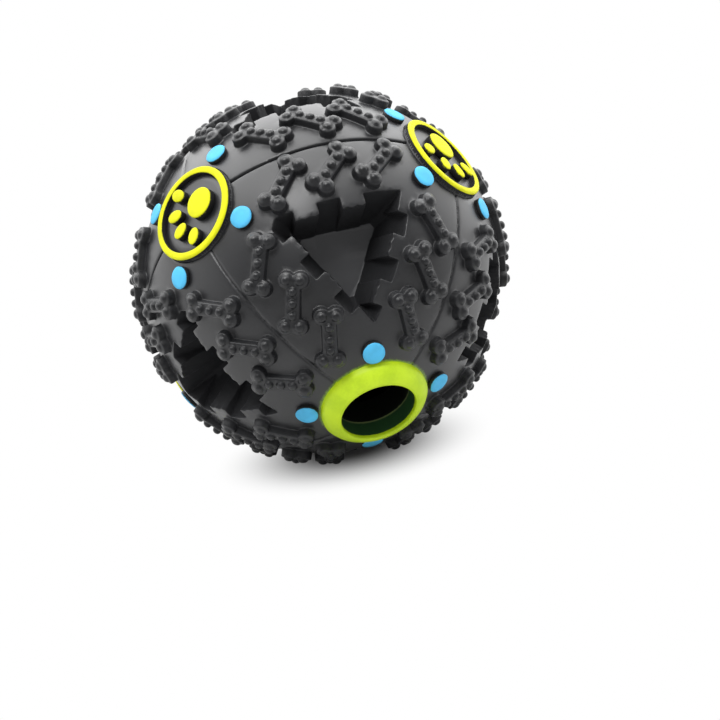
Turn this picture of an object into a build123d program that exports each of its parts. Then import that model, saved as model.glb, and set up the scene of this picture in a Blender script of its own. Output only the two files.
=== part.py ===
from build123d import *
import math
import os

# Treat dispensing ball: a hollow rubber ball moulded in two halves, with eight toothed pockets,
# rows of bone-shaped ribs, a treat mouth, five paw medallions and a sounder tube inside.
# Sizes are in millimetres, angles in degrees. The row frame has +Z up and the floor at zero.

# Ball and its two moulded halves
BALL_RADIUS = 56.0
WALL = 2.8
LIP_HEIGHT = 2.0
LIP_THICKNESS = 1.6
FIT_CLEARANCE = 0.05
OVERRUN = 5.0

# Bone ribs: three beside each seam in every octant, each slanted to its seam, as shares of the
# ball's radius
BONE_ALONG_ANGLES = (30.0, 45.5, 60.5)
BONE_OFF_SEAM_ANGLE = 10.5
BONE_SLANT_ANGLE = 45.0
BONE_LENGTH_SHARE = 0.332
BONE_END_WIDTH_SHARE = 0.155
BONE_SHAFT_WIDTH_SHARE = 0.076
BONE_END_LENGTH_SHARE = 0.079
BONE_NOTCH_SHARE = 0.029
BONE_HEIGHT = 2.7
BONE_ROOT = 1.5

# Toothed pocket in the middle of each octant, narrowing from its rim to a plain floor
POCKET_SIDE = 15.0
POCKET_FLOOR_SIDE = 7.3
POCKET_REACH = 25.0
POCKET_DEPTH = 18.0
POCKET_WALL = 2.5
TOOTH_WIDTH = 7.2
TOOTH_LENGTH = 4.0
TOOTH_PITCH = 14.1
TOOTH_FIRST = 10.4

# Paw medallions: a flat round seat, a little proud of the ball, carries a ring and five pads
MEDALLION_RADIUS_SHARE = 0.265
MEDALLION_RISE = 0.8
RING_WIDTH = 2.2
RING_HEIGHT = 1.6
RING_SIDES = 20
PAD_HEIGHT = 2.4
PAD_SIDES = 10
PALM_RADIUS = 4.8
PALM_OFFSET_SHARE = 0.33
TOE_LENGTH = 5.4
TOE_WIDTH = 3.9
TOE_SHARES = ((-0.15, 0.69), (-0.44, 0.245), (-0.44, -0.245), (-0.15, -0.69))

# Round studs, four about each pole
STUD_RADIUS = 3.5
STUD_HEIGHT = 1.7
MEDALLION_STUD_GAP = 0.9
COLLAR_STUD_GAP = 0.3
STUD_SIDES = 10

# Treat mouth and its collar
MOUTH_RADIUS = 11.6
COLLAR_WALL = 2.0
COLLAR_LIP_WIDTH = 4.9
COLLAR_LIP_RISE = 3.0
COLLAR_EDGE_SHARE = 0.3
COLLAR_CROWN_SHARE = 0.06
COLLAR_CREST = 0.7
COLLAR_LENGTH = 15.0

# Sounder: a tube standing in a socket opposite the mouth, with a sliding reed inside
TUBE_RADIUS = 9.0
TUBE_WALL = 1.2
TUBE_LENGTH = 42.0
SOCKET_WALL = 2.2
SOCKET_DEPTH = 9.0
CAP_FLANGE = 1.5
CAP_SPIGOT = 3.0
VENT_RADIUS = 3.0
BUMPER_THICKNESS = 2.0
RUN_CLEARANCE = 0.3
CARRIER_LENGTH = 9.0
AIR_CHANNEL_RADIUS = 1.6
WEIGHT_LENGTH = 5.0
WEIGHT_BORE_RADIUS = 4.6
REED_LENGTH = 7.4
REED_WIDTH = 4.2
REED_THICKNESS = 0.6

# Ball frame: +X left medallion, +Y treat mouth, +Z right medallion
LEFT = Vector(1, 0, 0)
MOUTH = Vector(0, 1, 0)
RIGHT = Vector(0, 0, 1)

# Seam sides of an octant: the pole that the bones lean to, the other pole, the pole away
SEAM_SIDES = ((LEFT, RIGHT, MOUTH), (LEFT, MOUTH, RIGHT), (RIGHT, MOUTH, LEFT))

# The ball rests with one pocket face down, the mouth forward and low
ROW_LEFT = Vector(-1 / math.sqrt(2), -1 / math.sqrt(6), 1 / math.sqrt(3))
ROW_RIGHT = Vector(1 / math.sqrt(2), -1 / math.sqrt(6), 1 / math.sqrt(3))

POLES = {
    "upper_left": LEFT,
    "upper_right": RIGHT,
    "lower_right": LEFT * -1,
    "lower_left": RIGHT * -1,
    "rear": MOUTH * -1,
}
PALM_SIDES = {
    "upper_left": RIGHT,
    "upper_right": MOUTH * -1,
    "lower_right": RIGHT,
    "lower_left": MOUTH * -1,
    "rear": RIGHT,
}

# Sizes and places that several pieces share
INNER_RADIUS = BALL_RADIUS - WALL
BONE_LENGTH = BALL_RADIUS * BONE_LENGTH_SHARE
BONE_END_WIDTH = BALL_RADIUS * BONE_END_WIDTH_SHARE
BONE_SHAFT_WIDTH = BALL_RADIUS * BONE_SHAFT_WIDTH_SHARE
BONE_END_LENGTH = BALL_RADIUS * BONE_END_LENGTH_SHARE
BONE_NOTCH = BALL_RADIUS * BONE_NOTCH_SHARE
POCKET_FLOOR = BALL_RADIUS - POCKET_DEPTH
TOOTH_SIDE = POCKET_SIDE - TOOTH_LENGTH
POCKET_RIM = math.sqrt(BALL_RADIUS**2 - TOOTH_SIDE**2)
POCKET_TOP = BALL_RADIUS + BONE_HEIGHT + OVERRUN
MEDALLION_RADIUS = BALL_RADIUS * MEDALLION_RADIUS_SHARE
MEDALLION_SEAT = math.sqrt(BALL_RADIUS**2 - MEDALLION_RADIUS**2) + MEDALLION_RISE
COLLAR_LIP_RADIUS = MOUTH_RADIUS + COLLAR_LIP_WIDTH
COLLAR_SEAT = math.sqrt(BALL_RADIUS**2 - COLLAR_LIP_RADIUS**2)
COLLAR_TOP = BALL_RADIUS + COLLAR_LIP_RISE
THROAT_RADIUS = MOUTH_RADIUS + COLLAR_WALL
TUBE_BACK = MEDALLION_SEAT - WALL
TUBE_FRONT = TUBE_BACK - TUBE_LENGTH
TUBE_BORE = TUBE_RADIUS - TUBE_WALL
SLIDER_RADIUS = TUBE_BORE - RUN_CLEARANCE
SLIDER_FRONT = TUBE_FRONT + CAP_SPIGOT + RUN_CLEARANCE
WEIGHT_FRONT = SLIDER_FRONT + CARRIER_LENGTH


def ray(angle, start, end):
    """Unit direction turned by an angle from one pole towards another."""
    turn = math.radians(angle)
    return start * math.cos(turn) + end * math.sin(turn)


def on_axis(direction, height, turn_to=None):
    """Plane square to a direction from the ball's centre, at a height along it."""
    side = turn_to or LEFT + MOUTH * 2 + RIGHT * 3
    side = side - direction * side.dot(direction)
    return Plane(origin=direction * height, x_dir=side, z_dir=direction)


def disc(direction, bottom, top, radius):
    """Cylinder about an axis through the ball's centre."""
    return extrude(on_axis(direction, bottom) * Circle(radius), top - bottom)


def oval(length, width, sides):
    """Many-sided oval face, so that a part that repeats keeps few faces."""
    steps = [2 * math.pi * step / sides for step in range(sides)]
    points = [(length / 2 * math.cos(step), width / 2 * math.sin(step)) for step in steps]
    return make_face(Polyline(*points, close=True))


def octants(solid):
    """The four mirror copies of an octant's solid round the mouth axis."""
    pair = [solid, mirror(solid, Plane.YZ)]
    return pair + [mirror(copy, Plane.XY) for copy in pair]


def bone_outline():
    """Dog bone seen from above: a straight shaft with a notched end on either side."""
    tip = BONE_LENGTH / 2
    corner = (tip - BONE_END_LENGTH, BONE_SHAFT_WIDTH / 2)
    lobe = (tip, BONE_END_WIDTH / 2)
    end = [corner, lobe, (tip - BONE_NOTCH, 0), (lobe[0], -lobe[1]), (corner[0], -corner[1])]
    return make_face(Polyline(*end, *[(-x, -y) for x, y in end], close=True))


def bone(lean_pole, other_pole, away, along):
    """One bone rib, set beside the seam between two poles and leaning to the first."""
    seam_point = ray(along, lean_pole, other_pole)
    seam_line = ray(along, other_pole, lean_pole * -1)
    outward = ray(BONE_OFF_SEAM_ANGLE, seam_point, away)
    inland = ray(BONE_OFF_SEAM_ANGLE, away, seam_point * -1)
    lengthwise = ray(BONE_SLANT_ANGLE, inland, seam_line * -1)
    root = on_axis(outward, BALL_RADIUS - BONE_ROOT, lengthwise)
    return extrude(root * bone_outline(), BONE_ROOT + BONE_HEIGHT)


def octant_bones():
    """The nine bone ribs of one octant."""
    return [bone(*side, along) for side in SEAM_SIDES for along in BONE_ALONG_ANGLES]


def octant_plane(height):
    """Plane square to the middle of the octant, with its first axis towards the left pole."""
    return on_axis((LEFT + MOUTH + RIGHT).normalized(), height, LEFT)


def pocket_well(wall):
    """Triangular well that widens from its floor to the rim, grown by a wall on every side."""
    bottom, reach = POCKET_FLOOR - wall, POCKET_REACH + wall
    profile = Polyline(
        (-2 * reach, bottom),
        (POCKET_FLOOR_SIDE + wall, bottom),
        (POCKET_SIDE + wall, POCKET_RIM),
        (POCKET_SIDE + wall, POCKET_TOP),
        (-2 * reach, POCKET_TOP),
        close=True,
    )
    side = extrude(Plane.XZ * make_face(profile), 2 * reach, both=True)
    corners = Pos(0, 0, bottom) * RegularPolygon(reach, 3, major_radius=False, rotation=180)
    well = extrude(corners, POCKET_TOP - bottom)
    for side_angle in (-60, 60, 180):
        well = well & (Rot(0, 0, side_angle) * side)
    return well


def pocket_tooth(side_angle, along):
    """One tooth: its face leans back from the floor to the rim and its top runs out of the ball."""
    face = Polyline(
        (POCKET_FLOOR_SIDE, POCKET_FLOOR),
        (TOOTH_SIDE, POCKET_RIM),
        (TOOTH_SIDE, POCKET_TOP),
        (POCKET_SIDE + OVERRUN, POCKET_TOP),
        (POCKET_SIDE + OVERRUN, POCKET_FLOOR),
        close=True,
    )
    solid = extrude(Plane.XZ * make_face(face), TOOTH_WIDTH / 2, both=True)
    return Rot(0, 0, side_angle) * Pos(0, along) * solid


def pocket_hollow():
    """The space of one pocket: a tapered well, less the teeth that stand in from its sides."""
    teeth = []
    for side_angle, direction, count in ((-60, -1, 2), (60, 1, 3), (180, 1, 3)):
        for index in range(count):
            teeth.append(pocket_tooth(side_angle, direction * (index * TOOTH_PITCH - TOOTH_FIRST)))
    return octant_plane(0).location * (pocket_well(0) - teeth)


def pocket_cup():
    """The wall round one pocket, standing in from the ball's skin."""
    return octant_plane(0).location * pocket_well(POCKET_WALL) & Sphere(BALL_RADIUS - WALL / 2)


def medallion_plate(pole):
    """Flat plate that closes the ball's wall behind a medallion's seat."""
    return disc(pole, TUBE_BACK, BALL_RADIUS, MEDALLION_RADIUS)


def above_seat(pole):
    """What is cut away above a medallion's seat."""
    return disc(pole, MEDALLION_SEAT, BALL_RADIUS + OVERRUN, MEDALLION_RADIUS + OVERRUN)


def half_blank():
    """What both halves share, on the mouth's side: skin, medallion seats, pockets and bones."""
    poles = [POLES[name] for name in PALM_SIDES if name != "rear"]
    skin = Sphere(BALL_RADIUS) - Sphere(INNER_RADIUS) + [medallion_plate(pole) for pole in poles]
    skin = skin - [above_seat(pole) for pole in poles]
    size = 2 * (BALL_RADIUS + OVERRUN)
    skin = skin & Box(size, size, size, align=(Align.CENTER, Align.MIN, Align.CENTER))
    walls = octants(pocket_cup())
    ribs = [copy for solid in octant_bones() for copy in octants(solid)]
    return (skin + walls + ribs) - octants(pocket_hollow())


def front_shell(blank):
    """Front half: a flat round seat and a hole for the collar."""
    mouth_hole = disc(MOUTH, TUBE_FRONT, COLLAR_TOP, THROAT_RADIUS + FIT_CLEARANCE)
    return blank - [mouth_hole, disc(MOUTH, COLLAR_SEAT, COLLAR_TOP, COLLAR_LIP_RADIUS)]


def locating_lip():
    """Thin ring on the rear half's edge that centres the front half, open at the medallions."""
    radius = INNER_RADIUS - FIT_CLEARANCE
    root = disc(MOUTH, -LIP_HEIGHT, 0, INNER_RADIUS + WALL / 2)
    lip = root + (disc(MOUTH, 0, LIP_HEIGHT, INNER_RADIUS) & Sphere(radius))
    poles = [POLES[name] for name in PALM_SIDES if name != "rear"]
    lip = lip - [disc(pole, 0, BALL_RADIUS, MEDALLION_RADIUS + FIT_CLEARANCE) for pole in poles]
    return lip - disc(MOUTH, -LIP_HEIGHT, LIP_HEIGHT, radius - LIP_THICKNESS)


def rear_shell(blank):
    """Rear half: the fifth medallion's seat outside and the sounder's socket inside."""
    rear = POLES["rear"]
    bore_radius = TUBE_RADIUS + FIT_CLEARANCE
    socket = disc(rear, TUBE_BACK - SOCKET_DEPTH, TUBE_BACK + WALL / 2, bore_radius + SOCKET_WALL)
    bore = disc(rear, TUBE_FRONT, TUBE_BACK, bore_radius)
    solid = mirror(blank, Plane.XZ) + [medallion_plate(rear), socket, locating_lip()]
    return solid - [bore, disc(rear, MEDALLION_SEAT, BALL_RADIUS + OVERRUN, MEDALLION_RADIUS)]


def mouth_collar():
    """Bright collar: a lip that rises like a cone outside and a straight throat through the wall."""
    inner_end = COLLAR_TOP - COLLAR_LENGTH
    edge = Vector(COLLAR_LIP_RADIUS, COLLAR_SEAT + COLLAR_EDGE_SHARE * (COLLAR_TOP - COLLAR_SEAT))
    crest = Vector(MOUTH_RADIUS + COLLAR_CREST, COLLAR_TOP)
    slope = crest - edge
    crown = edge + slope / 2 + Vector(slope.Y, -slope.X) * COLLAR_CROWN_SHARE
    profile = Polyline(
        (MOUTH_RADIUS, inner_end),
        (THROAT_RADIUS, inner_end),
        (THROAT_RADIUS, COLLAR_SEAT),
        (COLLAR_LIP_RADIUS, COLLAR_SEAT),
        edge,
        crown,
        crest,
        (MOUTH_RADIUS, COLLAR_TOP - COLLAR_CREST),
        close=True,
    )
    return revolve(make_face(profile), Axis.Y)


def medallion_ring(pole):
    """Raised ring round the edge of a medallion's seat."""
    outer = RegularPolygon(MEDALLION_RADIUS, RING_SIDES)
    inner = RegularPolygon(MEDALLION_RADIUS - RING_WIDTH, RING_SIDES)
    return extrude(on_axis(pole, MEDALLION_SEAT) * (outer - inner), RING_HEIGHT)


def medallion_paw(pole, palm_side):
    """Paw in relief: a round palm and four oval toes, all standing on the seat."""
    field = MEDALLION_RADIUS - RING_WIDTH
    palm = Pos(PALM_OFFSET_SHARE * field, 0) * oval(2 * PALM_RADIUS, 2 * PALM_RADIUS, PAD_SIDES)
    pads = [palm]
    for along_share, across_share in TOE_SHARES:
        turn = math.degrees(math.atan2(across_share, along_share - PALM_OFFSET_SHARE))
        place = Pos(along_share * field, across_share * field) * Rot(0, 0, turn)
        pads.append(place * oval(TOE_LENGTH, TOE_WIDTH, PAD_SIDES))
    seat = on_axis(pole, MEDALLION_SEAT, palm_side)
    return Compound(children=[extrude(seat * pad, PAD_HEIGHT) for pad in pads])


def studs(pole, clear_radius):
    """Four round studs about one pole, one in each octant, clear of what stands at the pole."""
    from_pole = math.degrees(math.asin((clear_radius + STUD_RADIUS) / BALL_RADIUS))
    others = [axis for axis in (LEFT, MOUTH, RIGHT) if abs(axis.dot(pole)) < math.cos(math.pi / 4)]
    solids = []
    for first_sign in (1, -1):
        for second_sign in (1, -1):
            diagonal = (others[0] * first_sign + others[1] * second_sign).normalized()
            direction = ray(from_pole, pole, diagonal)
            face = oval(2 * STUD_RADIUS, 2 * STUD_RADIUS, STUD_SIDES)
            solids.append(extrude(on_axis(direction, BALL_RADIUS) * face, STUD_HEIGHT))
    return Compound(children=solids)


def sound_tube():
    """Tube of the sounder, standing in the rear half's socket."""
    rear = POLES["rear"]
    bore = disc(rear, TUBE_FRONT, TUBE_BACK, TUBE_BORE)
    return disc(rear, TUBE_FRONT, TUBE_BACK, TUBE_RADIUS) - bore


def sound_cap():
    """Plug in the tube's front end, with a vent that lets the sound out."""
    rear = POLES["rear"]
    flange = disc(rear, TUBE_FRONT - CAP_FLANGE, TUBE_FRONT, TUBE_RADIUS)
    spigot = disc(rear, TUBE_FRONT, TUBE_FRONT + CAP_SPIGOT, TUBE_BORE - FIT_CLEARANCE)
    vent = disc(rear, TUBE_FRONT - CAP_FLANGE, TUBE_FRONT + CAP_SPIGOT, VENT_RADIUS)
    return flange + spigot - vent


def rear_bumper():
    """Soft pad at the back of the tube that stops the slider quietly."""
    front = TUBE_BACK - BUMPER_THICKNESS
    return disc(POLES["rear"], front, TUBE_BACK, TUBE_BORE - FIT_CLEARANCE)


def reed_carrier():
    """Sliding piston with an air channel through it."""
    rear = POLES["rear"]
    channel = disc(rear, SLIDER_FRONT, WEIGHT_FRONT, AIR_CHANNEL_RADIUS)
    return disc(rear, SLIDER_FRONT, WEIGHT_FRONT, SLIDER_RADIUS) - channel


def slider_weight():
    """Metal ring on the back of the carrier, which makes it slide when the ball tips."""
    rear = POLES["rear"]
    back = WEIGHT_FRONT + WEIGHT_LENGTH
    hole = disc(rear, WEIGHT_FRONT, back, WEIGHT_BORE_RADIUS)
    return disc(rear, WEIGHT_FRONT, back, SLIDER_RADIUS) - hole


def reed():
    """Thin strip over the air channel, inside the weight's hole."""
    plane = on_axis(POLES["rear"], WEIGHT_FRONT, LEFT)
    return extrude(plane * Rectangle(REED_LENGTH, REED_WIDTH), REED_THICKNESS)


def ball_pieces():
    """Every piece of the ball in the ball frame, by node name."""
    blank = half_blank()
    pieces = {
        "front_shell": front_shell(blank),
        "rear_shell": rear_shell(blank),
        "mouth_collar": mouth_collar(),
        "sound_tube": sound_tube(),
        "sound_cap": sound_cap(),
        "rear_bumper": rear_bumper(),
        "reed_carrier": reed_carrier(),
        "slider_weight": slider_weight(),
        "reed": reed(),
    }
    for name, palm_side in PALM_SIDES.items():
        pieces["ring_" + name] = medallion_ring(POLES[name])
        pieces["paw_" + name] = medallion_paw(POLES[name], palm_side)
        pieces["studs_" + name] = studs(POLES[name], MEDALLION_RADIUS + MEDALLION_STUD_GAP)
    pieces["studs_mouth"] = studs(MOUTH, COLLAR_LIP_RADIUS + COLLAR_STUD_GAP)
    return pieces


def resting(pieces):
    """The pieces in the row frame: pocket face down, lowest point on the floor."""
    turned = Plane(origin=(0, 0, 0), x_dir=ROW_LEFT, z_dir=ROW_RIGHT).location
    placed = {name: turned * piece for name, piece in pieces.items()}
    lowest = min(piece.bounding_box().min.Z for piece in placed.values())
    return {name: Pos(0, 0, -lowest) * piece for name, piece in placed.items()}


os.makedirs("parts", exist_ok=True)
for node, piece in resting(ball_pieces()).items():
    export_step(piece, "parts/" + node + ".step")
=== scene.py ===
import math

import bmesh
import bpy
from mathutils import Matrix, Vector, noise


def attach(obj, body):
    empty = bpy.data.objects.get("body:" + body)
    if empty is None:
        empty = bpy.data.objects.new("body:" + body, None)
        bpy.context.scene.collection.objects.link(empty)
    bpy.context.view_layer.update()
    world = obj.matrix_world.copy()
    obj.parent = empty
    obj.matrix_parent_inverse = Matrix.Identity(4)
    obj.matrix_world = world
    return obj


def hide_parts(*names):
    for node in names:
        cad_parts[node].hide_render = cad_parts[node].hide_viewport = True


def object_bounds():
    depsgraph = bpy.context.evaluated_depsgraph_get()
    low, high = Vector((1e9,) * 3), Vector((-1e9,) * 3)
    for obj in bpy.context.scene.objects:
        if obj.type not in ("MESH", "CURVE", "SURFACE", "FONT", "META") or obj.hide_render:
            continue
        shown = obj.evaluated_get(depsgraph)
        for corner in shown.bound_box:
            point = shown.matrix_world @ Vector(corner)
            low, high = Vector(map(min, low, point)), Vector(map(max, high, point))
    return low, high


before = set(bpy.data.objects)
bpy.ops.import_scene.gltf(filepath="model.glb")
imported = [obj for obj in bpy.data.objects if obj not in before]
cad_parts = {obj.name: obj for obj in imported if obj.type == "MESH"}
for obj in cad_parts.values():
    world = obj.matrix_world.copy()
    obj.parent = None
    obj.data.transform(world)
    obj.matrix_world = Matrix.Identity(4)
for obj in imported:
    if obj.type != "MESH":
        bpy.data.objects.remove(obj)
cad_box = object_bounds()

# The sounder: a pale moulded tube with a vented cap stands in the rear half, and a plastic
# carrier with a brass reed and a steel ring slides in it. The CAD solids are shown as they
# are, each with the finish of its own material.


class Value:
    """One value in a material's node tree. Sums and products of values become math nodes."""

    def __init__(self, tree, socket=None):
        self.tree, self.socket = tree, socket

    def node(self, kind, inputs, output=0, **settings):
        made = self.tree.nodes.new(kind)
        for name, setting in settings.items():
            setattr(made, name, setting)
        for name, value in inputs.items():
            if isinstance(value, Value):
                self.tree.links.new(value.socket, made.inputs[name])
            else:
                made.inputs[name].default_value = value
        return Value(self.tree, made.outputs[output])

    def calc(self, operation, first, second):
        return self.node("ShaderNodeMath", {0: first, 1: second}, operation=operation)

    def __add__(self, other):
        return self.calc("ADD", self, other)

    def __radd__(self, other):
        return self.calc("ADD", other, self)

    def __sub__(self, other):
        return self.calc("SUBTRACT", self, other)

    def __rsub__(self, other):
        return self.calc("SUBTRACT", other, self)

    def __mul__(self, other):
        return self.calc("MULTIPLY", self, other)

    def __rmul__(self, other):
        return self.calc("MULTIPLY", other, self)


def new_material(name):
    """An empty material: its tree's starting value, its shader, and its object coordinates."""
    material = bpy.data.materials.new(name)
    material.use_nodes = True
    shader = material.node_tree.nodes["Principled BSDF"]
    start = Value(material.node_tree)
    return material, start, shader, start.node("ShaderNodeTexCoord", {}, "Object")


def connect(value, shader, socket):
    value.tree.links.new(value.socket, shader.inputs[socket])


def grain(start, place, size, detail=3.0):
    """Noise from 0 to 1 with features of a size in metres."""
    return start.node("ShaderNodeTexNoise", {"Vector": place, "Scale": 1.0 / size, "Detail": detail})


def ramp(value, low, high):
    """0 below low, 1 above high, smooth between."""
    ends = {"Value": value, "From Min": low, "From Max": high}
    return value.node("ShaderNodeMapRange", ends, interpolation_type="SMOOTHSTEP")


def mixed(factor, first, second):
    """Colour between two colours, given as linear red, green and blue or as values."""
    colours = [c if isinstance(c, Value) else (*c, 1.0) for c in (first, second)]
    inputs = {0: factor, 6: colours[0], 7: colours[1]}
    return factor.node("ShaderNodeMix", inputs, 2, data_type="RGBA")


def bump(height, shader, strength, distance):
    inputs = {"Height": height, "Strength": strength, "Distance": distance}
    connect(height.node("ShaderNodeBump", inputs), shader, "Normal")


def moulded(name, dark, light, roughness, mottle):
    """Moulded plastic or rubber: uneven colour, a fine grain, and rubbed patches that shine."""
    material, start, shader, place = new_material(name)
    cloud = grain(start, place, mottle)
    fine = grain(start, place, mottle / 20)
    connect(mixed(ramp(cloud, 0.3, 0.7), dark, light), shader, "Base Color")
    connect(roughness + 0.12 * (cloud - 0.5) + 0.08 * fine, shader, "Roughness")
    bump(fine, shader, 0.15, mottle / 100)
    return material


def turned_metal(name, dark, light, roughness, spacing):
    """Turned or rolled metal: fine lines in the cut, and a stain here and there."""
    material, start, shader, place = new_material(name)
    inputs = {"Vector": place, "Scale": 0.3 / spacing, "Distortion": 2.0}
    lines = start.node("ShaderNodeTexWave", inputs, 1)
    stain = grain(start, place, 8 * spacing)
    connect(mixed(0.6 * lines + 0.5 * stain, dark, light), shader, "Base Color")
    connect(roughness + 0.15 * stain, shader, "Roughness")
    shader.inputs["Metallic"].default_value = 1.0
    bump(lines, shader, 0.2, spacing / 10)
    return material


sounder_finishes = {
    "sound_tube": moulded("tube_plastic", (0.62, 0.61, 0.57), (0.76, 0.75, 0.71), 0.42, 0.012),
    "sound_cap": moulded("cap_plastic", (0.58, 0.57, 0.54), (0.72, 0.71, 0.68), 0.45, 0.009),
    "rear_bumper": moulded("bumper_rubber", (0.05, 0.05, 0.05), (0.11, 0.11, 0.11), 0.8, 0.004),
    "reed_carrier": moulded("carrier_plastic", (0.48, 0.1, 0.04), (0.62, 0.16, 0.07), 0.4, 0.006),
    "slider_weight": turned_metal("weight_steel", (0.42, 0.42, 0.43), (0.66, 0.66, 0.67), 0.28, 0.0004),
    "reed": turned_metal("reed_brass", (0.62, 0.42, 0.14), (0.86, 0.66, 0.3), 0.25, 0.0003),
}
for node, finish in sounder_finishes.items():
    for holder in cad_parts[node].material_slots:
        holder.material = finish

# The two halves of the ball: thick black rubber, moulded with a tapered toothed pocket in the
# middle of every octant, nine knobbly bones beside its seams and a groove along each seam.
# One octant is cut and joined, its edges softened as in a mould, and mirrored to the others.
ball_radius = 0.056
shell_wall = 0.0028
groove_half_width = 0.0006
joint_groove_depth, mould_groove_depth = 0.0011, 0.0006
patch_rows = 170
pole_radius = 0.01484
pole_cut_from = 0.8 * ball_radius
pole_sides = 96
pocket_depth = 0.018
pocket_wall = 0.0025
floor_side, tooth_side, gap_side = 0.0073, 0.011, 0.015
corner_share = 0.88
tooth_width, tooth_pitch, tooth_first, tooth_foot = 0.0072, 0.0141, 0.0104, 0.0068
tooth_wave, tooth_neck = 0.0003, 0.0025
tooth_stations = (-0.5, -0.32, -0.12, 0.1, 0.3, 0.5)
# Rows of teeth: the turn of their side in degrees, the way they run along it, and their number.
tooth_rows = ((-60, -1, 2), (60, 1, 3), (180, 1, 3))
bone_alongs, bone_off_seam, bone_slant = (30.0, 45.5, 60.5), 10.5, 45.0
bone_foot, bone_top = -0.0012, 0.0028
lobe_out, lobe_apart, lobe_radius, lobe_crown = 0.00695, 0.0021, 0.0025, 0.0004
shaft_half_length = 0.0072
shaft_rows = ((bone_foot, 0.0023), (0.0024, 0.0022), (bone_top, 0.0018))
knob_foot, knob_top, knob_crown, knob_pitch = 0.0022, 0.0037, 0.0009, 0.0036
shaft_knob_radius, lobe_knob_radius = 0.0013, 0.0015
lobe_sides, knob_sides = 20, 14
crown_rows, crown_bend = 5, 0.36
edge_voxel = 0.00027
wall_reach, wall_facing, seam_reach = 0.7 * edge_voxel, 0.8, 2 * edge_voxel
weld_reach = edge_voxel / 5
octant_triangles = 46000
size_seed = 7
rubber_dark, rubber_light = (0.0095, 0.0098, 0.0115), (0.0155, 0.016, 0.0185)
# Painted light: a paler grey for the pocket floors where they face out, in place of the light they
# catch.
pocket_floor_painted_light = (0.06, 0.061, 0.066)
spray_green = (0.25, 0.42, 0.01)
spray_inner, spray_outer, spray_wander = 0.0163, 0.0175, 0.0012
spray_low, spray_high = 0.03, 0.04
cloud_size, grain_size, ripple_size, spray_size = 0.02, 0.0011, 0.004, 0.0009
bone_finish_low, bone_finish_high = ball_radius + 0.0005, ball_radius + 0.0014
# Depths over which the painted light on the pocket floors fades in.
painted_floor_light_high, painted_floor_light_low = ball_radius - 0.009, ball_radius - 0.014
flank_level, skin_level = 0.45, 0.96
flank_roughness, skin_roughness = 0.75, 0.32
bone_flank_roughness, bone_top_roughness = 0.47, 0.24
skin_coat, bone_coat = 0.95, 0.5

left_pole, mouth_pole, right_pole = Vector((1, 0, 0)), Vector((0, 1, 0)), Vector((0, 0, 1))
row_left = Vector((-1 / math.sqrt(2), -1 / math.sqrt(6), 1 / math.sqrt(3)))
row_right = Vector((1 / math.sqrt(2), -1 / math.sqrt(6), 1 / math.sqrt(3)))
row_mouth = row_right.cross(row_left)
ball_to_row = Matrix((row_left, row_mouth, row_right)).transposed().to_4x4()
ball_centre = (cad_box[0][2] + cad_box[1][2]) / 2
ball_to_row.translation = Vector((0, 0, ball_centre))


def placed(name, mesh):
    piece = bpy.data.objects.new(name, mesh)
    bpy.context.scene.collection.objects.link(piece)
    return piece


def mesh_from(name, points, faces):
    mesh = bpy.data.meshes.new(name)
    mesh.from_pydata([tuple(point) for point in points], [], faces)
    form = bmesh.new()
    form.from_mesh(mesh)
    bmesh.ops.recalc_face_normals(form, faces=form.faces)
    form.to_mesh(mesh)
    form.free()
    return mesh


def baked(piece):
    """Applies a piece's modifiers to its mesh."""
    view = bpy.context.evaluated_depsgraph_get()
    mesh = bpy.data.meshes.new_from_object(piece.evaluated_get(view))
    piece.modifiers.clear()
    piece.data = mesh


def formed(name, form):
    """Places a mesh, given as its points and faces."""
    return placed(name, mesh_from(name, *form))


def cut(piece, tool, operation):
    step = piece.modifiers.new(operation, "BOOLEAN")
    step.object, step.operation, step.solver = tool, operation, "EXACT"
    baked(piece)


def lofted(loops):
    """Closed solid through loops of equal length."""
    count = len(loops[0])
    points = [point for loop in loops for point in loop]
    faces = [tuple(range(count)), tuple(range(len(points) - count, len(points)))]
    for row in range(len(loops) - 1):
        for near in range(count):
            far = (near + 1) % count
            low, high = row * count, (row + 1) * count
            faces.append((low + near, low + far, high + far, high + near))
    return points, faces


def joined(parts):
    points, faces = [], []
    for part_points, part_faces in parts:
        base = len(points)
        points += part_points
        faces += [tuple(base + index for index in face) for face in part_faces]
    return points, faces


def circle(centre, first, second, radius, sides):
    turns = [2 * math.pi * side / sides for side in range(sides)]
    return [centre + (first * math.cos(turn) + second * math.sin(turn)) * radius for turn in turns]


def level_circle(radius, level, sides, x=0.0, y=0.0):
    """Circle square to z, for a piece that is made upright and then turned to its place."""
    return circle(Vector((x, y, level)), Vector((1, 0, 0)), Vector((0, 1, 0)), radius, sides)


def axes(side, out):
    """Turn that takes x to side and z to out."""
    return Matrix((side, out.cross(side), out)).transposed()


def turned(angle, start, end):
    """Unit direction turned by degrees from one pole towards another."""
    turn = math.radians(angle)
    return start * math.cos(turn) + end * math.sin(turn)


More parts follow.
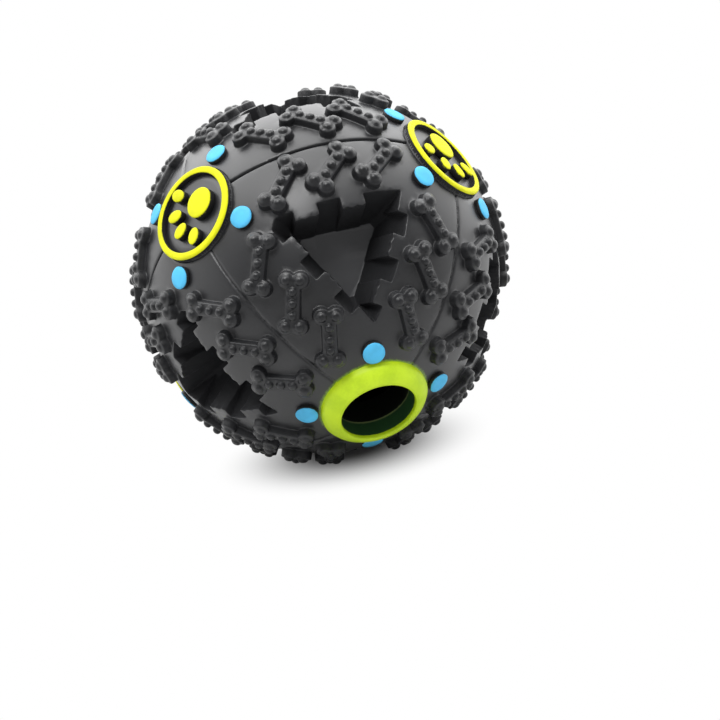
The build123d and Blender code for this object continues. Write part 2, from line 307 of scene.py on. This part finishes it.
def skin_patch():
    """An octant of the hollow ball, with half a groove along each of its edges."""
    points, faces, index = [], [], {}
    rows = range(patch_rows + 1)
    for depth in (0, 1):
        for i in rows:
            for j in range(patch_rows + 1 - i):
                steps = (i, j, patch_rows - i - j)
                out = Vector([math.sin(math.pi / 2 * step / patch_rows) for step in steps]).normalized()
                near = [max(0.0, 1.0 - part * ball_radius / groove_half_width) for part in out]
                dip = max(near[1] * joint_groove_depth, max(near[0], near[2]) * mould_groove_depth)
                index[depth, i, j] = len(points)
                points.append(out * (ball_radius - (shell_wall if depth else dip)))
        for i in range(patch_rows):
            for j in range(patch_rows - i):
                near, right, far = index[depth, i, j], index[depth, i + 1, j], index[depth, i, j + 1]
                faces.append((near, right, far))
                if i + j < patch_rows - 1:
                    faces.append((right, index[depth, i + 1, j + 1], far))
    edges = (
        [(i, 0) for i in rows],
        [(patch_rows - j, j) for j in rows],
        [(0, patch_rows - j) for j in rows],
    )
    for edge in edges:
        for (a, b), (c, d) in zip(edge, edge[1:]):
            faces.append((index[0, a, b], index[1, a, b], index[1, c, d], index[0, c, d]))
    return points, faces


pocket_out = Vector((1, 1, 1)).normalized()
to_left = (left_pole - pocket_out * pocket_out.x).normalized()
pocket_frame = axes(to_left, pocket_out)
pocket_floor = ball_radius - pocket_depth
pocket_rim = math.sqrt(ball_radius**2 - tooth_side**2)
pocket_top = ball_radius * 1.1


def pocket_section(side, level):
    """Triangle with cut corners, square to the middle of the octant."""
    loop = []
    reach = 2 * side * corner_share
    half = (2 * side - reach) * math.tan(math.radians(30))
    for corner in (0, 120, 240):
        out = Matrix.Rotation(math.radians(corner), 3, "Z")
        for across in (-half, half):
            loop.append(pocket_frame @ (out @ Vector((reach, across, level))))
    return loop


def pocket_tooth(side_angle, along):
    """One tooth, its face leaning back from the floor to the rim."""
    below = pocket_floor - pocket_wall / 2
    beyond = gap_side + pocket_wall * 2
    neck = pocket_rim - tooth_neck
    lean = (tooth_side - tooth_foot) / (pocket_rim - below)
    profile = [
        (tooth_foot, below),
        (tooth_side - lean * tooth_neck, neck),
        (tooth_side, pocket_rim),
        (tooth_side, pocket_top),
        (beyond, pocket_top),
        (beyond, below),
    ]
    out = pocket_frame @ Matrix.Rotation(math.radians(side_angle), 3, "Z")
    sections = []
    for step, share in enumerate(tooth_stations):
        wave = tooth_wave * (-1) ** step
        side = along + tooth_width * share
        ends = profile[:2] + [(away + wave, level) for away, level in profile[2:4]] + profile[4:]
        sections.append([out @ Vector((away, side, level)) for away, level in ends])
    return lofted(sections)


def stump(x, y, radius, low, high, crown, sides):
    """Upright round stump with a domed top, for the lobes and knobs of a bone."""
    rows = [(1.0, low)]
    for step in range(crown_rows):
        bend = step * crown_bend
        rows.append((math.cos(bend), high - crown + crown * math.sin(bend)))
    return lofted([level_circle(radius * share, level, sides, x, y) for share, level in rows])


def bone_blank():
    """One flat bone: two lobes at each end of a shaft, with a knob on every lobe and three between."""
    lobes = [(x, y) for x in (-lobe_out, lobe_out) for y in (-lobe_apart, lobe_apart)]
    parts = [stump(x, y, lobe_radius, bone_foot, bone_top, lobe_crown, lobe_sides) for x, y in lobes]
    corners = ((-1, -1), (1, -1), (1, 1), (-1, 1))
    shaft = []
    for level, half_width in shaft_rows:
        shaft.append([Vector((x * shaft_half_length, y * half_width, level)) for x, y in corners])
    parts.append(lofted(shaft))
    knobs = [(x, 0.0, shaft_knob_radius) for x in (-knob_pitch, 0.0, knob_pitch)]
    knobs += [(x, y, lobe_knob_radius) for x, y in lobes]
    for x, y, radius in knobs:
        parts.append(stump(x, y, radius, knob_foot, knob_top, knob_crown, knob_sides))
    blank = formed("bone_blank", joined(parts))
    lift = blank.data.attributes.new("lift", "FLOAT", "POINT")
    lift.data.foreach_set("value", [vertex.co.z for vertex in blank.data.vertices])
    return blank


def bone_seats():
    """Points on the ball for an octant's nine bones, each with its turn as an attribute."""
    points, turns = [], []
    sides = (
        (left_pole, right_pole, mouth_pole),
        (left_pole, mouth_pole, right_pole),
        (right_pole, mouth_pole, left_pole),
    )
    for lean_pole, other_pole, away in sides:
        for along in bone_alongs:
            seam_point = turned(along, lean_pole, other_pole)
            seam_line = turned(along, other_pole, lean_pole * -1)
            out = turned(bone_off_seam, seam_point, away)
            inland = turned(bone_off_seam, away, seam_point * -1)
            lengthwise = turned(bone_slant, inland, seam_line * -1)
            points.append(out * ball_radius)
            turns += axes(lengthwise, out).to_euler()
    seats = formed("bones", (points, []))
    turn = seats.data.attributes.new("turn", "FLOAT_VECTOR", "POINT")
    turn.data.foreach_set("vector", turns)
    return seats


def scatter_tree(name, wrap):
    """Geometry nodes that set a blank on every point of a mesh, turned as its attribute says.

    With wrap, the copies are bent to follow the ball.
    """
    tree = bpy.data.node_groups.new(name, "GeometryNodeTree")
    sockets = tree.interface
    sockets.new_socket("Geometry", in_out="INPUT", socket_type="NodeSocketGeometry")
    kinds = {"Blank": "Object", "Size Spread": "Float", "Ball Radius": "Float", "Finish": "Material"}
    for title, kind in kinds.items():
        sockets.new_socket(title, in_out="INPUT", socket_type="NodeSocket" + kind)
    sockets.new_socket("Geometry", in_out="OUTPUT", socket_type="NodeSocketGeometry")

    def add(kind, inputs, **settings):
        made = tree.nodes.new(kind)
        for title, setting in settings.items():
            setattr(made, title, setting)
        for socket, value in inputs.items():
            if isinstance(value, bpy.types.NodeSocket):
                tree.links.new(value, made.inputs[socket])
            else:
                made.inputs[socket].default_value = value
        return made.outputs

    given = add("NodeGroupInput", {})
    blank = add("GeometryNodeObjectInfo", {"Object": given["Blank"]})
    turn = add("GeometryNodeInputNamedAttribute", {"Name": "turn"}, data_type="FLOAT_VECTOR")
    small = add("ShaderNodeMath", {0: 1.0, 1: given["Size Spread"]}, operation="SUBTRACT")
    size = add("FunctionNodeRandomValue", {2: small[0], 3: 1.0, "Seed": size_seed}, data_type="FLOAT")
    copies = add(
        "GeometryNodeInstanceOnPoints",
        {
            "Points": given["Geometry"],
            "Instance": blank["Geometry"],
            "Rotation": turn[0],
            "Scale": size[1],
        },
    )
    whole = add("GeometryNodeRealizeInstances", {"Geometry": copies[0]})[0]
    if wrap:
        lift = add("GeometryNodeInputNamedAttribute", {"Name": "lift"}, data_type="FLOAT")
        height = add("ShaderNodeMath", {0: given["Ball Radius"], 1: lift[0]}, operation="ADD")
        here = add("GeometryNodeInputPosition", {})
        out = add("ShaderNodeVectorMath", {0: here[0]}, operation="NORMALIZE")
        bent = add("ShaderNodeVectorMath", {0: out[0], "Scale": height[0]}, operation="SCALE")
        whole = add("GeometryNodeSetPosition", {"Geometry": whole, "Position": bent[0]})[0]
    finished = add("GeometryNodeSetMaterial", {"Geometry": whole, "Material": given["Finish"]})
    add("NodeGroupOutput", {0: finished[0]})
    return tree


def scatter(seats, tree, blank, finish, spread=0.0):
    """Runs the tree on a mesh of points and keeps its result as the mesh."""
    step = seats.modifiers.new("scatter", "NODES")
    step.node_group = tree
    values = {"Blank": blank, "Size Spread": spread, "Ball Radius": ball_radius, "Finish": finish}
    for title, value in values.items():
        step[tree.interface.items_tree[title].identifier] = value
    baked(seats)
    bpy.data.objects.remove(blank)


def octant_blank(finish):
    """One octant of the ball as a single soft-edged skin."""
    well = [
        pocket_section(floor_side, pocket_floor),
        pocket_section(gap_side, pocket_rim),
        pocket_section(gap_side, pocket_top),
    ]
    hollow = formed("hollow", lofted(well))
    for side_angle, direction, count in tooth_rows:
        for index in range(count):
            along = direction * (index * tooth_pitch - tooth_first)
            tooth = formed("tooth", pocket_tooth(side_angle, along))
            cut(hollow, tooth, "DIFFERENCE")
            bpy.data.objects.remove(tooth)
    back = pocket_section(floor_side + pocket_wall, pocket_floor - pocket_wall)
    front = pocket_section(gap_side + pocket_wall, pocket_rim)
    cup = formed("cup", lofted([back, front]))
    core = placed("core", bpy.data.meshes.new("core"))
    form = bmesh.new()
    bmesh.ops.create_icosphere(form, subdivisions=5, radius=ball_radius - shell_wall / 2)
    form.to_mesh(core.data)
    form.free()
    cut(cup, core, "INTERSECT")
    cut(cup, hollow, "DIFFERENCE")
    skin = formed("skin", skin_patch())
    cut(skin, hollow, "DIFFERENCE")
    ends = []
    for out, side in ((left_pole, mouth_pole), (mouth_pole, right_pole), (right_pole, left_pole)):
        loops = []
        for level in (pole_cut_from, pocket_top):
            loops.append(circle(out * level, side, out.cross(side), pole_radius, pole_sides))
        ends.append(lofted(loops))
    ends = formed("ends", joined(ends))
    cut(skin, ends, "DIFFERENCE")
    bones = bone_seats()
    scatter(bones, scatter_tree("bone_rows", True), bone_blank(), finish)
    whole = bmesh.new()
    for piece in (skin, cup, bones):
        whole.from_mesh(piece.data)
    octant = placed("octant", bpy.data.meshes.new("octant"))
    whole.to_mesh(octant.data)
    whole.free()
    for piece in (hollow, cup, core, skin, ends, bones):
        bpy.data.objects.remove(piece)
    step = octant.modifiers.new("join", "REMESH")
    step.mode, step.voxel_size = "VOXEL", edge_voxel
    step = octant.modifiers.new("soften", "SMOOTH")
    step.factor, step.iterations = 0.5, 1
    baked(octant)
    return octant


def opened(octant):
    """Takes off the octant's walls on the two seams inside a half, then thins its triangles."""
    form = bmesh.new()
    form.from_mesh(octant.data)
    walls = []
    for face in form.faces:
        middle = face.calc_center_median()
        for axis in (0, 2):
            if middle[axis] < wall_reach and abs(face.normal[axis]) > wall_facing:
                walls.append(face)
                break
    bmesh.ops.delete(form, geom=walls, context="FACES")
    for edge in form.edges:
        if edge.is_boundary:
            for vertex in edge.verts:
                for axis in (0, 2):
                    if vertex.co[axis] < seam_reach:
                        vertex.co[axis] = 0.0
    form.to_mesh(octant.data)
    form.free()
    octant.data.update()
    step = octant.modifiers.new("thin", "DECIMATE")
    step.ratio = octant_triangles / (2 * len(octant.data.polygons))
    baked(octant)


def half_ball(name, octant, mouth_side, finish):
    """Four mirrored octants welded along their seams, in the row frame."""
    whole = bmesh.new()
    for first in (1, -1):
        for second in (1, -1):
            start = len(whole.verts)
            start_face = len(whole.faces)
            whole.from_mesh(octant.data)
            whole.verts.ensure_lookup_table()
            whole.faces.ensure_lookup_table()
            for vertex in whole.verts[start:]:
                flipped = Vector((vertex.co.x * first, vertex.co.y * mouth_side, vertex.co.z * second))
                vertex.co = ball_to_row @ flipped
            if first * second * mouth_side < 0:
                bmesh.ops.reverse_faces(whole, faces=whole.faces[start_face:])
    bmesh.ops.remove_doubles(whole, verts=whole.verts, dist=weld_reach)
    mesh = bpy.data.meshes.new(name)
    for face in whole.faces:
        face.smooth = True
    whole.to_mesh(mesh)
    whole.free()
    mesh.materials.append(finish)
    return placed(name, mesh)


def from_centre(start, place):
    """The way from the ball's centre to the point that is shaded."""
    return start.node("ShaderNodeVectorMath", {0: place, 1: (0, 0, -ball_centre)}, operation="ADD")


def measured(operation, way, other=(0, 0, 0)):
    """The length of a way, or its share along another."""
    return way.node("ShaderNodeVectorMath", {0: way, 1: other}, "Value", operation=operation)


def between(share, low, high):
    """Number from low to high as the share goes from 0 to 1."""
    return low + share * (high - low)


def shell_rubber():
    """Satin black rubber, dull on steep flanks, painted light on pocket floors, a paint rim at the
    mouth.
    """
    material, start, shader, place = new_material("shell_rubber")
    cloud = grain(start, place, cloud_size)
    fine = grain(start, place, grain_size, 5.0)
    centre = from_centre(start, place)
    out = start.node("ShaderNodeVectorMath", {0: centre}, operation="NORMALIZE")
    facing = start.node("ShaderNodeNewGeometry", {}, "Normal")
    height = measured("LENGTH", centre)
    raised = ramp(height, bone_finish_low, bone_finish_high)
    sunken = ramp(height, painted_floor_light_high, painted_floor_light_low)
    open_skin = ramp(measured("DOT_PRODUCT", facing, out), flank_level, skin_level)
    black = mixed(ramp(cloud + 0.35 * fine, 0.35, 0.95), rubber_dark, rubber_light)
    # Painted light: the outward-facing pocket floors are coloured paler grey, standing in for light
    # falling on them.
    black = mixed(sunken * open_skin, black, pocket_floor_painted_light)
    mouth_way = tuple(row_mouth)
    across = start.node("ShaderNodeVectorMath", {0: centre, 1: mouth_way}, operation="CROSS_PRODUCT")
    ragged = spray_wander * (grain(start, place, spray_size, 4.0) - 0.5)
    spray = ramp(measured("LENGTH", across) + ragged, spray_outer, spray_inner)
    spray = spray * ramp(measured("DOT_PRODUCT", centre, mouth_way), spray_low, spray_high)
    connect(mixed(spray, black, spray_green), shader, "Base Color")
    plain = between(open_skin, flank_roughness, skin_roughness)
    dull = between(raised, plain, between(open_skin, bone_flank_roughness, bone_top_roughness))
    connect(dull + 0.08 * cloud + 0.06 * fine, shader, "Roughness")
    shader.inputs["Specular IOR Level"].default_value = 0.5
    connect(open_skin * between(raised, skin_coat, bone_coat), shader, "Coat Weight")
    shader.inputs["Coat Roughness"].default_value = 0.36
    bump(fine + 0.4 * grain(start, place, ripple_size), shader, 0.2, 0.0001)
    return material


rubber = shell_rubber()
octant = octant_blank(rubber)
opened(octant)
for node, name, mouth_side in (("front_shell", "front_half", 1), ("rear_shell", "rear_half", -1)):
    half = half_ball(name, octant, mouth_side, rubber)
    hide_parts(node)
    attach(half, "ball")
bpy.data.objects.remove(octant)

# The paw medallions: at every pole but the mouth's the wall is a flat round dish, and a ring and
# a paw of five pads stand up from it. All are black rubber, with bright yellow paint rolled on
# their tops, so that its edge is a little ragged.
dish_seat = math.sqrt(ball_radius**2 - pole_radius**2)
dish_level = dish_seat + 0.0008
dish_hub_radius, dish_middle_radius = 0.0035, 0.7 * pole_radius
ring_inner = 0.01264
ring_foot, ring_top = dish_level - 0.0006, dish_level + 0.0016
ring_paint_edge, ring_paint_blur = dish_level + 0.0008, 0.0001
ring_sides = 120
ring_paint = (0, 0.1, 0.9, 1, 1, 1, 1, 1, 0.8, 0.45, 0.1, 0)
pad_foot, pad_top = dish_level - 0.0004, dish_level + 0.0024
pad_dome = 0.00012
pad_sides = 40
pad_paint = (0, 0.4, 0.7, 0.9, 1, 1, 1)
pad_wander, pad_wander_scale = 0.02, 1.6
palm_radius = 0.0048
palm_along = 0.0042
toe_length, toe_width = 0.0054, 0.0039
toes = ((-0.0019, 0.0087), (-0.0056, 0.0031), (-0.0056, -0.0031), (-0.0019, -0.0087))
edge_round = 0.0004
bare_rubber = (0.022, 0.022, 0.023)
ring_yellow = (0.82, 0.83, 0.006)
paint_shade = 0.82
medallions = {
    "upper_left": (left_pole, right_pole),
    "upper_right": (right_pole, mouth_pole * -1),
    "lower_right": (left_pole * -1, right_pole),
    "lower_left": (right_pole * -1, mouth_pole * -1),
    "rear": (mouth_pole * -1, right_pole),
}


def painted(name, paint, low, high, gloss):
    """Black rubber with paint where the piece's own paint attribute is high."""
    material, start, shader, place = new_material(name)
    mark = start.node("ShaderNodeAttribute", {}, "Fac", attribute_name="paint")
    fine = grain(start, place, 0.0007, 4.0)
    cloud = grain(start, place, 0.006)
    cover = ramp(mark + 0.5 * (fine - 0.5), low, high)
    shade = tuple(part * paint_shade for part in paint)
    colour = mixed(ramp(cloud, 0.25, 0.6), shade, paint)
    connect(mixed(cover, bare_rubber, colour), shader, "Base Color")
    connect(0.46 + 0.06 * cover + 0.1 * cloud, shader, "Roughness")
    shader.inputs["Specular IOR Level"].default_value = gloss
    bump(fine + cover, shader, 0.2, 0.0001)
    return material


def about_pole(name, form, marks, out, side, finish):
    """Mesh turned to a pole: x along side, y across it, z out from the centre, with its paint."""
    points, faces = form
    turn = ball_to_row @ axes(side, out).to_4x4()
    mesh = mesh_from(name, [turn @ point for point in points], faces)
    paint = mesh.attributes.new("paint", "FLOAT", "POINT")
    paint.data.foreach_set("value", marks)
    mesh.materials.append(finish)
    return mesh


def plate_piece(name, rows, marks, out, side, finish):
    """Capped forms, each through its own loops, with flat caps and smooth sides."""
    mesh = about_pole(name, joined([lofted(loops) for loops in rows]), marks, out, side, finish)
    mesh.polygons.foreach_set("use_smooth", [len(face.vertices) == 4 for face in mesh.polygons])
    return placed(name, mesh)


def ring_piece(name, loops, loop_marks, out, side, finish):
    """A ring: its loops joined round, the last to the first, with one mark for each loop."""
    count = len(loops[0])
    points, faces = lofted(loops)
    faces = faces[2:]
    last = len(points) - count
    faces += [(last + n, last + (n + 1) % count, (n + 1) % count, n) for n in range(count)]
    marks = [mark for mark in loop_marks for n in range(count)]
    mesh = about_pole(name, (points, faces), marks, out, side, finish)
    mesh.shade_smooth()
    mesh.set_sharp_from_angle(angle=math.radians(50))
    return placed(name, mesh)


def rounded(edge, inward, radius, top, bend):
    """Point on a rounded top edge, some degrees round from the side towards the top."""
    angle = math.radians(bend)
    return edge + inward * radius * (1 - math.cos(angle)), top - radius * (1 - math.sin(angle))


def pad_loops(place, length, width, turn):
    """Loops up the side and over the rounded top edge of one pad."""
    rows = [(0.0, pad_foot), (0.0, pad_top - edge_round)]
    rows += [rounded(0.0, 1, edge_round, pad_top, bend) for bend in (30, 60, 90)]
    rows += [(width / 5, pad_top + pad_dome * 2 / 3), (width / 3, pad_top + pad_dome)]
    spin = Matrix.Rotation(turn, 3, "Z")
    loops = []
    for inset, level in rows:
        loop = []
        for step in range(pad_sides):
            angle = 2 * math.pi * step / pad_sides
            spot = Vector((math.cos(angle), math.sin(angle), 100 * place.x)) * pad_wander_scale
            wander = 1 + pad_wander * noise.noise(spot)
            along = (length / 2 * wander - inset) * math.cos(angle)
            across = (width / 2 * wander - inset) * math.sin(angle)
            loop.append(place + spin @ Vector((along, across, 0)) + Vector((0, 0, level)))
        loops.append(loop)
    return loops


def band_loops():
    """Loops round a ring's section, from its outer foot over the rounded top to its inner foot."""
    section = [
        (pole_radius, ring_foot),
        (pole_radius, ring_paint_edge - ring_paint_blur),
        (pole_radius, ring_paint_edge + ring_paint_blur),
    ]
    section += [rounded(pole_radius, -1, 2 * edge_round, ring_top, bend) for bend in (0, 30, 60, 90)]
    section += [rounded(ring_inner, 1, edge_round, ring_top, bend) for bend in (90, 60, 30, 0)]
    section.append((ring_inner, ring_foot))
    return [level_circle(radius, level, ring_sides) for radius, level in section]


def dish_loops():
    """Loops over a dish, from near its middle to the foot of its skirt."""
    section = (
        (dish_hub_radius, dish_level),
        (dish_middle_radius, dish_level),
        (pole_radius, dish_level),
        (pole_radius, dish_seat - shell_wall),
    )
    return [level_circle(radius, level, pole_sides) for radius, level in section]


yellow = painted("medallion_yellow", ring_yellow, low=0.35, high=0.6, gloss=0.25)
for name, (out, side) in medallions.items():
    loops = dish_loops()
    marks = [0.0] * (pole_sides * len(loops))
    dish = plate_piece("dish_" + name, [loops], marks, out, side, rubber)
    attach(dish, "ball")
    ring = ring_piece("ring_band_" + name, band_loops(), ring_paint, out, side, yellow)
    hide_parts("ring_" + name)
    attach(ring, "ball")
    pads = [pad_loops(Vector((palm_along, 0, 0)), 2 * palm_radius, 2 * palm_radius, 0.0)]
    for x, y in toes:
        pads.append(pad_loops(Vector((x, y, 0)), toe_length, toe_width, math.atan2(y, x - palm_along)))
    marks = [mark for pad in pads for mark in pad_paint for n in range(pad_sides)]
    paw = plate_piece("paw_pads_" + name, pads, marks, out, side, yellow)
    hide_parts("paw_" + name)
    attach(paw, "ball")

# The studs: four low round studs about each pole, moulded with the ball and dabbed with light
# blue paint on their slightly domed tops. Their outline is not quite round.
stud_radius = 0.0035
stud_sides = 36
stud_wander, stud_wander_scale, stud_wander_share = 0.025, 2.1, 0.5
stud_size_spread = 0.04
medallion_stud_gap, collar_stud_gap = 0.0009, 0.0003
collar_lip_radius = 0.0165
light_blue = (0.09, 0.58, 0.97)
# Rows up a stud: its share of the radius, its height over the skin, and its paint.
stud_rows = (
    (0.985, -0.0006, 0.0),
    (1.0, 0.0009, 0.05),
    (0.985, 0.00125, 0.5),
    (0.93, 0.0015, 0.95),
    (0.6, 0.00168, 1.0),
    (0.25, 0.00175, 1.0),
)


def stud_blank(pole):
    """One stud, with an outline of its own at each pole."""
    loops = []
    for share, level, mark in stud_rows:
        loop = []
        for point in level_circle(stud_radius * share, level, stud_sides):
            if share > stud_wander_share:
                spot = point.normalized() * stud_wander_scale + pole
                point = point * (1 + stud_wander * noise.noise(spot))
            point.z = level
            loop.append(point)
        loops.append(loop)
    blank = formed("stud_blank", lofted(loops))
    paint = blank.data.attributes.new("paint", "FLOAT", "POINT")
    marks = [mark for share, level, mark in stud_rows for n in range(stud_sides)]
    paint.data.foreach_set("value", marks)
    blank.data.polygons.foreach_set("use_smooth", [True] * len(blank.data.polygons))
    return blank


blue = painted("stud_blue", light_blue, low=0.3, high=0.55, gloss=0.5)
stud_tree = scatter_tree("stud_ring", False)
for name, pole in [(key, medallions[key][0]) for key in medallions] + [("mouth", mouth_pole)]:
    clear = pole_radius + medallion_stud_gap
    if name == "mouth":
        clear = collar_lip_radius + collar_stud_gap
    from_pole = math.degrees(math.asin((clear + stud_radius) / ball_radius))
    others = [axis for axis in (left_pole, mouth_pole, right_pole) if abs(axis.dot(pole)) < 0.5]
    points, turns = [], []
    for first in (1, -1):
        for second in (1, -1):
            diagonal = (others[0] * first + others[1] * second).normalized()
            out = turned(from_pole, pole, diagonal)
            side = turned(from_pole, diagonal, pole * -1)
            points.append(ball_to_row @ (out * ball_radius))
            turns += (ball_to_row.to_3x3() @ axes(side, out)).to_euler()
    studs = placed("stud_set_" + name, mesh_from("stud_set", points, []))
    turn = studs.data.attributes.new("turn", "FLOAT_VECTOR", "POINT")
    turn.data.foreach_set("vector", turns)
    scatter(studs, stud_tree, stud_blank(pole), blue, stud_size_spread)
    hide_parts("studs_" + name)
    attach(studs, "ball")

# The mouth's collar: a lime green ring of softer rubber pushed through the front half, with a
# lip that rises like a cone outside and a straight throat that leads into the ball.
mouth_radius = 0.0116
throat_radius = 0.0136
collar_top = 0.059
collar_length = 0.015
lip_crest = 0.0007
lip_edge_share = 0.3
lip_crown = 0.0004
lip_overlap = 0.0004
lip_steps = 8
lip_paint_depth, lip_paint_end = 0.0012, 0.002
collar_sides = 144
# Depths down the throat of a thin pale line and of the black painted shade that starts past it.
line_start, line_full, throat_shade_start, throat_shade_full = 0.0062, 0.0066, 0.0068, 0.007
lip_green, lip_pale_green = (0.51, 0.75, 0.004), (0.64, 0.89, 0.012)
# Painted shade: the throat's dark greens, and the black past the pale line, stand in for shade inside
# the ball.
throat_shaded_green, throat_shaded_pale_green = (0.012, 0.045, 0.014), (0.02, 0.075, 0.022)
throat_line, throat_painted_shade = (0.16, 0.2, 0.08), (0.003, 0.004, 0.003)


def collar_green():
    """Lime rubber, paler where rubbed, with painted shade in the throat: dark, and black past a pale
    edge.
    """
    material, start, shader, place = new_material("collar_green")
    cloud = grain(start, place, 0.007)
    fine = grain(start, place, 0.0008, 5.0)
    mark = start.node("ShaderNodeAttribute", {}, "Fac", attribute_name="paint")
    lip = mixed(ramp(cloud + 0.3 * fine, 0.35, 0.8), lip_green, lip_pale_green)
    # Painted shade: the throat is coloured dark green, and black deep down, for the shade inside the
    # ball.
    throat = mixed(cloud, throat_shaded_green, throat_shaded_pale_green)
    along = measured("DOT_PRODUCT", from_centre(start, place), tuple(row_mouth))
    depth = collar_top - along + 0.0003 * (fine - 0.5)
    throat = mixed(ramp(depth, line_start, line_full), throat, throat_line)
    throat = mixed(ramp(depth, throat_shade_start, throat_shade_full), throat, throat_painted_shade)
    connect(mixed(ramp(mark + 0.4 * (fine - 0.5), 0.3, 0.7), throat, lip), shader, "Base Color")
    connect(0.38 + 0.2 * fine, shader, "Roughness")
    bump(fine, shader, 0.15, 0.0001)
    return material


collar_seat = math.sqrt(ball_radius**2 - collar_lip_radius**2)
collar_foot = collar_top - collar_length
wall_back = collar_seat - shell_wall
lip_edge = collar_seat + lip_edge_share * (collar_top - collar_seat)
# The collar's section, from its foot outside to its foot inside: radius, level and lip colour.
collar_section = [
    (throat_radius, collar_foot, 0),
    (throat_radius, wall_back, 0),
    (pole_radius, wall_back, 0),
    (pole_radius, collar_seat, 0),
    (collar_lip_radius, collar_seat - lip_overlap, 1),
]
for step in range(lip_steps + 1):
    share = step / lip_steps
    swell = lip_crown * math.sin(math.pi * share)
    across = collar_lip_radius + (mouth_radius + lip_crest - collar_lip_radius) * share
    collar_section.append((across + swell, lip_edge + (collar_top - lip_edge) * share + swell, 1))
for bend in (72, 54, 36, 18, 0):
    collar_section.append((*rounded(mouth_radius, 1, lip_crest, collar_top, bend), 1))
collar_section += [
    (mouth_radius, collar_top - lip_paint_depth, 0.8),
    (mouth_radius, collar_top - lip_paint_end, 0),
    (mouth_radius, collar_foot, 0),
]
loops = [level_circle(radius, level, collar_sides) for radius, level, mark in collar_section]
marks = [mark for radius, level, mark in collar_section]
collar = ring_piece("collar_lip", loops, marks, mouth_pole, left_pole, collar_green())
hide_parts("mouth_collar")
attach(collar, "ball")

# The stage: a white floor that keeps the ball's soft shadow and a white room, both dimmer where the
# ball mirrors the camera's side. A broad light hangs overhead, a weaker one stands on the right and
# a small one in front, and the camera stands where the photograph's did.
floor_half = 9.0
floor_white, floor_pale, floor_mirrored = (0.5, 0.5, 0.5), (0.54, 0.54, 0.54), (0.26, 0.26, 0.26)
mirror_near, mirror_far = -0.06, -0.14
shadow_core, shadow_end = 0.008, 0.046
room_light, room_mirrored_front, room_mirrored_back = 0.65, 0.2, 1.0
room_front, room_back = -0.6, 0.4
camera_right = Vector((0.952, -0.254, -0.172))
camera_up = Vector((0.228, 0.212, 0.950))
camera_back = Vector((-0.204, -0.943, 0.260))
camera_aside, camera_above, camera_away = 0.218, -0.484, 12.56
camera_angle = 18.23

corners = [(x * floor_half, y * floor_half, 0) for x, y in ((-1, -1), (1, -1), (1, 1), (-1, 1))]
floor = formed("floor", (corners, [(0, 1, 2, 3)]))
paper, start, shader, place = new_material("white_paper")
white = mixed(grain(start, place, 0.3), floor_white, floor_pale)
mirrored = start.node("ShaderNodeLightPath", {}, "Is Glossy Ray")
backward = start.node("ShaderNodeSeparateXYZ", {"Vector": place}, "Y")
in_front = ramp(backward, mirror_near, mirror_far)
connect(mixed(mirrored * in_front, white, floor_mirrored), shader, "Base Color")
shader.inputs["Roughness"].default_value = 0.9
shader.inputs["Specular IOR Level"].default_value = 0.0
seen = start.node("ShaderNodeLightPath", {}, "Is Camera Ray")
bare = ramp(measured("LENGTH", place), shadow_core, shadow_end)
glow = start.node("ShaderNodeEmission", {"Color": (1, 1, 1, 1), "Strength": 1.0})
lit = Value(paper.node_tree, shader.outputs["BSDF"])
surface = start.node("ShaderNodeMixShader", {0: seen * bare, 1: lit, 2: glow})
connect(surface, paper.node_tree.nodes["Material Output"], "Surface")
floor.data.materials.append(paper)

scene = bpy.context.scene
scene.view_settings.view_transform = "Standard"
world = bpy.data.worlds.new("white_room")
world.use_nodes = True
scene.world = world
sky = world.node_tree.nodes["Background"]
sky.inputs["Color"].default_value = (1, 1, 1, 1)
start = Value(world.node_tree)
direction = start.node("ShaderNodeTexCoord", {}, "Generated")
backward = start.node("ShaderNodeSeparateXYZ", {"Vector": direction}, "Y")
seen = start.node("ShaderNodeLightPath", {}, "Is Camera Ray")
mirrored = start.node("ShaderNodeLightPath", {}, "Is Glossy Ray")
mirror = between(ramp(backward, room_front, room_back), room_mirrored_front, room_mirrored_back)
room = between(mirrored, room_light, mirror)
connect(between(seen, room, 1.0), sky, "Strength")


def sun(name, direction, spread, power):
    light = bpy.data.lights.new(name, "SUN")
    light.energy, light.angle = power, math.radians(spread)
    holder = bpy.data.objects.new(name, light)
    holder.rotation_euler = Vector(direction).to_track_quat("Z", "Y").to_euler()
    scene.collection.objects.link(holder)


sun("overhead", (0.0, 0.38, 1.0), spread=100, power=2.9)
sun("right", (1.0, 0.35, 0.45), spread=80, power=0.9)
sun("key", (-0.25, -0.5, 1.0), spread=22, power=0.8)

camera = bpy.data.objects.new("camera", bpy.data.cameras.new("camera"))
camera.data.angle = math.radians(camera_angle)
camera.data.clip_start = 0.01
stand = Matrix((camera_right, camera_up, camera_back)).transposed().to_4x4()
shift = camera_aside * camera_right + camera_above * camera_up + camera_away * camera_back
stand.translation = Vector((0, 0, ball_centre)) + ball_radius * shift
camera.matrix_world = stand
scene.collection.objects.link(camera)
scene.camera = camera
